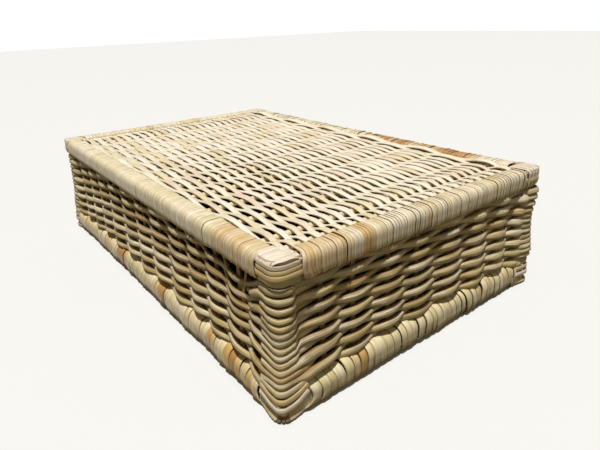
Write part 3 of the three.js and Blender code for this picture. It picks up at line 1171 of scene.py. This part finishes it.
def bentStrip(name, z, inset, wide, tone, seed, climbs=0.0, radius=corner["round"]):
    # a strip that goes round one corner and tucks in at both ends
    reach, over, step = (corner[key] for key in ("reach", "over", "step"))
    tuck = rimCorner["tuck"] if climbs else corner["tuck"]
    a, b = directions(name)
    begin = inset + radius
    points, faces = [], []

    def addStraight(side, places):
        for away in places:
            tucked = inset + tuck * rise(away, reach - corner["tuckFrom"], reach)
            u, v = (tucked, away) if side else (away, tucked)
            points.append(onCorner(name, u, v, z + climbs * climbed(name, side, away)))
            faces.append(a if side else -b)

    arc, outward = cornerArc(name, inset, radius, z)
    addStraight(0, np.arange(reach + over, begin, -step))
    points += arc
    faces += outward
    addStraight(1, np.arange(begin + step, reach + over + 1, step))
    for i, p in enumerate(points):
        p[2] += corner["waver"] * drift(i / 5, seed * 1.7)
    return cane(points, faces, wide, tone)


def makeBaseCorner(name, seed):
    rng = np.random.default_rng(seed)
    canes = []
    isNear = name == "front_right"
    for i, (z, width, inset) in enumerate(baseCorner["bentNear" if isNear else "bent"]):
        canes.append(bentStrip(name, z, inset, width, baseCorner["bentTones"][i], seed + i))
    # flat strips that come up one face, bend over the edge and run under the next band
    swapped = name == "front_left"  # there they come up the other face
    a, b = directions(name)
    out = a if swapped else -b
    up = raised(1.0)
    bend = baseCorner["edgeRoundNear" if isNear else "edgeRound"]
    foot = baseCorner["foot"][name]
    behindOver = [foot + above for above in baseCorner["footBehindOver"]]
    top = basketHeight - baseCorner["top"]

    def spot(u, v, z):
        return onCorner(name, v, u, z) if swapped else onCorner(name, u, v, z)

    def roundEdge(u):
        # how far in the rounded corner's edge is, this far along
        middle = baseCorner["edgeInset"] + corner["round"]
        away = max(0.0, middle - u)
        return middle - math.sqrt(max(corner["round"] ** 2 - away**2, 0))

    for i, (u, width) in enumerate(baseCorner["flatNear" if isNear else "flat"]):
        inner = u + width / 2
        edge = roundEdge(inner if isNear else u - width / 4)
        edge += baseCorner["behind"] if isNear else -baseCorner["outside"]
        places, faces = [], []
        for z in np.linspace(foot, top - bend, 3 + int((top - bend - foot) / 2))[:-1]:
            places.append((edge + baseCorner["footBehind"] * rise(z, *behindOver), z))
            faces.append(out)
        for k in range(7):
            angle = math.pi / 2 * k / 6
            places.append((edge + bend * (1 - math.cos(angle)), top - bend * (1 - math.sin(angle))))
            faces.append(out * math.cos(angle) + up * math.sin(angle))
        for v in np.linspace(edge + bend + 2, corner["reach"] + 1, 9):
            places.append((v, top - baseCorner["dive"] * rise(v, *baseCorner["diveOver"]) ** 2))
            faces.append(up)
        # at the near corner the outer side of a strip is cut to the round of the corner
        outers = [max(u - width / 2, roundEdge(v)) if isNear else u - width / 2 for v, z in places]
        wide = [max(inner - outer, baseCorner["leastWidth"]) for outer in outers]
        middles = [inner - w / 2 + corner["waver"] * drift(v / 6, i) for w, (v, z) in zip(wide, places)]
        points = [spot(middle, v, z) for middle, (v, z) in zip(middles, places)]
        tone = baseCorner["flatTone"] + baseCorner["flatToneSpread"] * rng.random()
        canes.append(cane(points, faces, wide, tone))
    node = "base_corner_lashing_" + name
    sweepCanes("baseCorner_" + name, canes, looks["cornerTop"], [node])


def makeRimCorner(name, seed):
    rng = np.random.default_rng(seed)
    canes = []
    for i, (z, width, inset) in enumerate(rimCorner["bent"]):
        tone, climbs = rimCorner["tones"][i], rimCorner["share"][i]
        canes.append(bentStrip(name, z, inset, width, tone, seed + i, climbs, rimCorner["round"]))
    # upright strips that come out under the lowest bent one and turn in beneath the corner
    down = raised(-1.0)
    inset, radius, bend = (rimCorner[key] for key in ("footInset", "footTurn", "footRound"))
    low = rimCorner["footLowest"]
    straightFrom = bend + rimCorner["footStraight"]
    for run in np.arange(-rimCorner["footBefore"], rimCorner["footAfter"], rimCorner["footPitch"]):
        # the arc starts at a quarter before the middle of the corner
        along = run + math.pi / 4 * radius
        turn = within(along / radius, 0, math.pi / 2)
        u, v, outward = onArc(name, inset, radius, turn)
        u -= min(along, 0)
        v += max(along - math.pi / 2 * radius, 0)
        spot = onCorner(name, u, v, 0)
        climb = climbed(name, 0, u) if run < 0 else climbed(name, 1, v)
        bentMiddle = min(rimCorner["bent"][0][0] + climb, rimCorner["footHighest"])
        tops = [(bentMiddle + above, behind) for above, behind in rimCorner["footTop"]]
        points, faces = [], []
        for z, behind in tops + [(straightFrom, 0)]:
            points.append(spot + raised(max(z, straightFrom)) - outward * behind)
            faces.append(outward)
            if z <= straightFrom:
                break
        foot = spot + outward * rimCorner["footFlare"] * fadeOut(run, rimCorner["footFlareReach"], 4)
        for k in range(1, 6):
            angle = math.pi / 2 * k / 5
            level = low + bend * (1 - math.sin(angle))
            points.append(foot - outward * bend * (1 - math.cos(angle)) + raised(level))
            faces.append(outward * math.cos(angle) + down * math.sin(angle))
        points.append(foot - outward * (bend + rimCorner["footUnder"]) + raised(low))
        faces.append(down)
        # painted shade: the feet turn dark brown towards the middle of the corner
        tone = rimCorner["footTone"] + rimCorner["footShade"] * fadeOut(run, rimCorner["footShadeReach"])
        tone = within(tone + rimCorner["toneJitter"] * rng.normal())
        width = rimCorner["footWidth"] * (1 + rimCorner["widthJitter"] * rng.normal())
        canes.append(cane(points, faces, width, tone))
    node = "rim_corner_lashing_" + name
    sweepCanes("rimCorner_" + name, canes, looks["corner"], [node])


for index, name in enumerate(cornerSides):
    makeBaseCorner(name, 60 + index * 5)
    makeRimCorner(name, 90 + index * 5)
print("corners wrapped")


# rods and posts that stay as they were made
def rodMaterial():
    material, tree, shader = newMaterial("rodCane")
    fibres = noiseNode(tree, tree.nodes.new("ShaderNodeTexCoord").outputs["Object"], 160, 4)
    values = {
        "Base Color": rampNode(tree, fibres, ((0.3, tan), (0.7, straw))),
        "Roughness": 0.7,
        "Normal": bumpNode(tree, fibres, 0.3, 0.0005),
    }
    feed(tree, shader, values)
    return material


rod = rodMaterial()
for name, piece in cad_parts.items():
    if name.startswith(("base_bar", "corner_post")):
        piece.data.materials.clear()
        piece.data.materials.append(rod)


# floor, lights and camera
paper = {
    "size": 12,  # in metres, as is its gap to the rim
    "gap": 0.0004,
    "seen": (0.75, 0.75, 0.74),
    "bounced": (0.11, 0.09, 0.045),
    # painted shade: the near-black floor under the basket, and how far inside its edge it starts
    "shadeUnder": (0.03, 0.028, 0.018),
    "shadeUnderInset": 4,
}


def makeStage():
    bpy.ops.mesh.primitive_plane_add(size=paper["size"], location=(0, 0, -paper["gap"]))
    floor = bpy.context.object
    floor.name = "floor"
    surface, tree, shader = newMaterial("paleFloor")
    isCamera = tree.nodes.new("ShaderNodeLightPath").outputs["Is Camera Ray"]
    # less light comes back up off the floor than it shows, and under the basket the floor is painted
    # near-black as shade, for the camera too, so the gaps in the weave look dark
    place = tree.nodes.new("ShaderNodeTexCoord").outputs["Object"]
    spot = addNode(tree, "ShaderNodeSeparateXYZ", {0: place}).outputs
    shadeUnderMask = 1
    for axis, half in (("X", halfLength), ("Y", halfWidth)):
        edge = (half - paper["shadeUnderInset"]) * mm
        isInside = mathNode(tree, "LESS_THAN", mathNode(tree, "ABSOLUTE", spot[axis]), edge)
        shadeUnderMask = mathNode(tree, "MULTIPLY", isInside, shadeUnderMask)
    openFloor = mixNode(tree, isCamera, paper["bounced"], paper["seen"])
    # painted shade under the basket
    colour = mixNode(tree, shadeUnderMask, openFloor, paper["shadeUnder"])
    feed(tree, shader, {"Base Color": colour, "Roughness": 0.9})
    floor.data.materials.append(surface)


light = {"key": 3.45, "keyAngle": 3, "keyTilt": (10.0, 7.2), "world": 0.195, "warmWorld": (1.0, 0.92, 0.72)}


def makeLights():
    lamp = bpy.data.lights.new("key", "SUN")
    lamp.energy = light["key"]
    lamp.angle = math.radians(light["keyAngle"])
    key = bpy.data.objects.new("key", lamp)
    key.rotation_euler = (*map(math.radians, light["keyTilt"]), 0)
    bpy.context.scene.collection.objects.link(key)
    world = bpy.data.worlds.new("studio")
    world.use_nodes = True
    tree = world.node_tree
    isCamera = tree.nodes.new("ShaderNodeLightPath").outputs["Is Camera Ray"]
    strength = mathNode(tree, "ADD", mathNode(tree, "MULTIPLY", isCamera, 1 - light["world"]), light["world"])
    tint = mixNode(tree, isCamera, light["warmWorld"], (1, 1, 1))
    feed(tree, tree.nodes["Background"], {"Strength": strength, "Color": tint})
    bpy.context.scene.world = world


view = {
    "place": (0.4357, -0.2840, 0.2441),
    "forward": (-0.7338, 0.5582, -0.3872),
    "roll": -1.898,
    "lens": 29.685,
}


def makeCamera():
    forward = Vector(view["forward"]).normalized()
    right = forward.cross(Vector((0, 0, 1))).normalized()
    up = right.cross(forward)
    roll = math.radians(view["roll"])
    across = right * math.cos(roll) + up * math.sin(roll)
    upright = -right * math.sin(roll) + up * math.cos(roll)
    lens = bpy.data.cameras.new("camera")
    lens.lens = view["lens"]
    lens.sensor_width = 36
    lens.clip_start = 0.01
    camera = bpy.data.objects.new("camera", lens)
    turn = Matrix((across, upright, -forward)).transposed()
    camera.matrix_world = Matrix.Translation(view["place"]) @ turn.to_4x4()
    bpy.context.scene.collection.objects.link(camera)
    bpy.context.scene.camera = camera


makeStage()
makeLights()
makeCamera()
bpy.context.scene.view_settings.view_transform = "Standard"
print("stage, lights and camera set")
